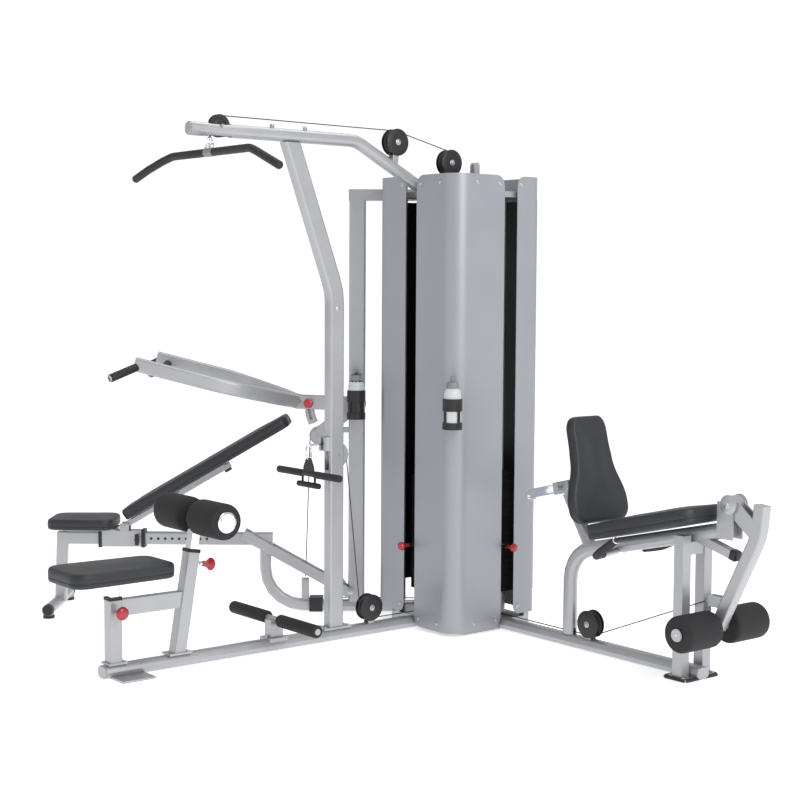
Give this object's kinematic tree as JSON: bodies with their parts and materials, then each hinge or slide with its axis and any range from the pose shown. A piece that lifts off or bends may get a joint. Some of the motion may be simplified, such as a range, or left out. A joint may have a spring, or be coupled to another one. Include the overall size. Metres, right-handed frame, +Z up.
{
  "type": "multi station home gym",
  "caption": "Shrouded weight-stack tower with a lat pulldown and row station, a leg station and a chest press with an adjustable bench",
  "frame": {"origin": "centre of the tower on the floor", "axes": "+Z up; the front corner of the tower faces -Y, the lat station runs toward (-X,-Y) and the leg station toward (+X,-Y)"},
  "size_m": [3.166, 1.9023, 2.162],
  "materials": {
    "silver_frame": "satin powder coat",
    "shroud": "satin powder coat",
    "chrome": "polished",
    "iron_plates": "black enamel",
    "vinyl": "grained vinyl over foam",
    "foam": "closed-cell foam",
    "black_plastic": "matte",
    "red_plastic": "gloss",
    "cable": "nylon-coated wire rope",
    "bottle": "translucent white"
  },
  "bodies": {
    "frame": {"tower_frame": "silver_frame", "tower_head": "silver_frame", "shroud_front": "shroud", "shroud_left": "shroud", "shroud_right": "shroud", "lat_plates_resting": "iron_plates", "leg_plates_resting": "iron_plates", "press_plates_resting": "iron_plates", "lat_cable": "cable", "row_cable": "cable", "leg_cable": "cable", "press_cable": "cable", "press_lever_cable": "cable", "lat_stack_cables": "cable", "leg_stack_cable": "cable", "press_stack_cable": "cable", "lat_base": "silver_frame", "lat_upright": "silver_frame", "lat_beam": "silver_frame", "lat_seat_frame": "silver_frame", "leg_base": "silver_frame", "leg_frame": "silver_frame", "leg_seat_cushion": "vinyl", "press_frame": "silver_frame", "bench_rail": "silver_frame", "bottle_holder_front": "black_plastic", "bottle_and_holder_left": "black_plastic"},
    "lat_stack": {"lat_stack_lifted": "iron_plates"},
    "leg_stack": {"leg_stack_lifted": "iron_plates"},
    "press_stack": {"press_stack_lifted": "iron_plates"},
    "lat_pin": {"lat_selector_pin": "red_plastic"},
    "leg_pin": {"leg_selector_pin": "red_plastic"},
    "press_pin": {"press_selector_pin": "red_plastic"},
    "lat_bar": {"lat_bar": "black_plastic"},
    "row_handle": {"row_handle": "black_plastic"},
    "lat_seat": {"lat_seat_stem": "chrome", "lat_seat_cushion": "vinyl"},
    "seat_pin": {"seat_pin": "red_plastic"},
    "knee_stem": {"knee_stem": "chrome"},
    "knee_pin": {"knee_pin": "red_plastic"},
    "knee_roller_near": {"knee_roller_near": "foam"},
    "knee_roller_far": {"knee_roller_far": "foam"},
    "lat_pulley_front": {"lat_pulley_front": "black_plastic"},
    "lat_pulley_middle": {"lat_pulley_middle": "black_plastic"},
    "lat_pulley_rear": {"lat_pulley_rear": "black_plastic"},
    "row_pulley_base": {"row_pulley_base": "black_plastic"},
    "leg_pulley_base": {"leg_pulley_base": "black_plastic"},
    "leg_lever": {"leg_lever": "silver_frame"},
    "leg_roller_near": {"leg_roller_near": "foam"},
    "leg_roller_far": {"leg_roller_far": "foam"},
    "leg_back": {"leg_back_tube": "chrome", "leg_back_pad": "vinyl"},
    "press_lever": {"press_lever": "chrome"},
    "press_arms": {"press_arms": "silver_frame"},
    "press_arm_pin": {"press_arm_pin": "red_plastic"},
    "bench_slider": {"bench_slider": "silver_frame", "bench_seat_cushion": "vinyl"},
    "bench_back": {"bench_back_rail": "silver_frame", "bench_back_pad": "vinyl"},
    "bottle_front": {"bottle_front": "bottle"}
  },
  "joints": [
    {"name": "lat_bar_pull", "type": "slide", "parent": "frame", "child": "lat_bar", "axis": [0, 0, -1], "range_m": [0, 0.9]},
    {"name": "lat_stack_lift", "type": "slide", "parent": "frame", "child": "lat_stack", "axis": [0, 0, 1], "range_m": [0, 0.9], "deforming": ["lat_stack_cables"]},
    {"name": "row_handle_pull", "type": "slide", "parent": "frame", "child": "row_handle", "axis": [-0.7071, -0.7071, 0], "range_m": [0, 0.43], "stiffness_N_per_m": 50},
    {"name": "leg_stack_lift", "type": "slide", "parent": "frame", "child": "leg_stack", "axis": [0, 0, 1], "range_m": [0, 0.54], "deforming": ["leg_stack_cable"]},
    {"name": "press_stack_lift", "type": "slide", "parent": "frame", "child": "press_stack", "axis": [0, 0, 1], "range_m": [0, 0.34], "deforming": ["press_stack_cable"]},
    {"name": "lat_pin_pull", "type": "slide", "parent": "lat_stack", "child": "lat_pin", "axis": [-0.7071, -0.7071, 0], "range_m": [0, 0.05]},
    {"name": "leg_pin_pull", "type": "slide", "parent": "leg_stack", "child": "leg_pin", "axis": [0.7071, -0.7071, 0], "range_m": [0, 0.05]},
    {"name": "press_pin_pull", "type": "slide", "parent": "press_stack", "child": "press_pin", "axis": [-0.7071, 0.7071, 0], "range_m": [0, 0.05]},
    {"name": "lat_seat_height", "type": "slide", "parent": "frame", "child": "lat_seat", "axis": [0, 0, 1], "range_m": [0, 0.1]},
    {"name": "seat_pin_pull", "type": "slide", "parent": "frame", "child": "seat_pin", "axis": [0.7071, -0.7071, 0], "range_m": [0, 0.012], "stiffness_N_per_m": 300},
    {"name": "knee_pad_height", "type": "slide", "parent": "frame", "child": "knee_stem", "axis": [0.1162, 0.1162, 0.9864], "range_m": [0, 0.09]},
    {"name": "knee_pin_pull", "type": "slide", "parent": "frame", "child": "knee_pin", "axis": [0.6975, 0.6975, -0.1644], "range_m": [0, 0.012], "stiffness_N_per_m": 300},
    {"name": "knee_roller_near_spin", "type": "hinge", "parent": "knee_stem", "child": "knee_roller_near", "pos_m": [-0.98875, -0.98875, 0.5882], "axis": [0.7071, -0.7071, 0], "continuous": true},
    {"name": "knee_roller_far_spin", "type": "hinge", "parent": "knee_stem", "child": "knee_roller_far", "pos_m": [-0.98875, -0.98875, 0.5882], "axis": [0.7071, -0.7071, 0], "continuous": true},
    {"name": "lat_pulley_front_spin", "type": "hinge", "parent": "frame", "child": "lat_pulley_front", "pos_m": [-0.91146, -0.91146, 2.117], "axis": [0.7071, -0.7071, 0], "continuous": true},
    {"name": "lat_pulley_middle_spin", "type": "hinge", "parent": "frame", "child": "lat_pulley_middle", "pos_m": [-0.28921, -0.28921, 2.106], "axis": [0.7071, -0.7071, 0], "continuous": true},
    {"name": "lat_pulley_rear_spin", "type": "hinge", "parent": "frame", "child": "lat_pulley_rear", "pos_m": [-0.07495, -0.07495, 2.035], "axis": [0.7071, -0.7071, 0], "continuous": true},
    {"name": "row_pulley_base_spin", "type": "hinge", "parent": "frame", "child": "row_pulley_base", "pos_m": [-0.38042, -0.38042, 0.116], "axis": [0.7071, -0.7071, 0], "continuous": true},
    {"name": "leg_pulley_base_spin", "type": "hinge", "parent": "frame", "child": "leg_pulley_base", "pos_m": [0.56568, -0.56568, 0.111], "axis": [0.7071, 0.7071, 0], "continuous": true},
    {"name": "leg_extend", "type": "hinge", "parent": "frame", "child": "leg_lever", "pos_m": [1.08329, -1.08329, 0.692], "axis": [-0.7071, -0.7071, 0], "range_deg": [0, 80]},
    {"name": "leg_roller_near_spin", "type": "hinge", "parent": "leg_lever", "child": "leg_roller_near", "pos_m": [1.03874, -1.03874, 0.216], "axis": [0.7071, 0.7071, 0], "continuous": true},
    {"name": "leg_roller_far_spin", "type": "hinge", "parent": "leg_lever", "child": "leg_roller_far", "pos_m": [1.03874, -1.03874, 0.216], "axis": [0.7071, 0.7071, 0], "continuous": true},
    {"name": "leg_back_slide", "type": "slide", "parent": "frame", "child": "leg_back", "axis": [-0.6861, 0.6861, -0.2419], "range_m": [0, 0.06]},
    {"name": "press_lift", "type": "hinge", "parent": "frame", "child": "press_lever", "pos_m": [-0.50109, 0.08562, 0.957], "axis": [-0.1045, 0.9945, 0], "range_deg": [0, 45], "deforming": ["press_lever_cable"]},
    {"name": "press_arm_adjust", "type": "hinge", "parent": "press_lever", "child": "press_arms", "pos_m": [-0.50109, 0.08562, 0.957], "axis": [-0.1045, 0.9945, 0], "range_deg": [-7, 0]},
    {"name": "press_arm_pin_pull", "type": "slide", "parent": "press_arms", "child": "press_arm_pin", "axis": [0.1045, -0.9945, 0], "range_m": [0, 0.024], "stiffness_N_per_m": 300},
    {"name": "bench_slide", "type": "slide", "parent": "frame", "child": "bench_slider", "axis": [-0.9945, -0.1045, 0], "range_m": [0, 0.12]},
    {"name": "bench_back_recline", "type": "hinge", "parent": "bench_slider", "child": "bench_back", "pos_m": [-1.55926, -0.02559, 0.391], "axis": [0.1045, -0.9945, 0], "range_deg": [-10, 0]},
    {"name": "bottle_lift", "type": "slide", "parent": "frame", "child": "bottle_front", "axis": [0, 0, 1], "range_m": [0, 0.2]}
  ],
  "couplings": [
    {"joint": "lat_stack_lift", "follows": "lat_bar_pull", "ratio": 1},
    {"joint": "leg_stack_lift", "follows": "leg_extend", "m_per_rad": 0.38},
    {"joint": "press_stack_lift", "follows": "press_lift", "m_per_rad": 0.43}
  ]
}
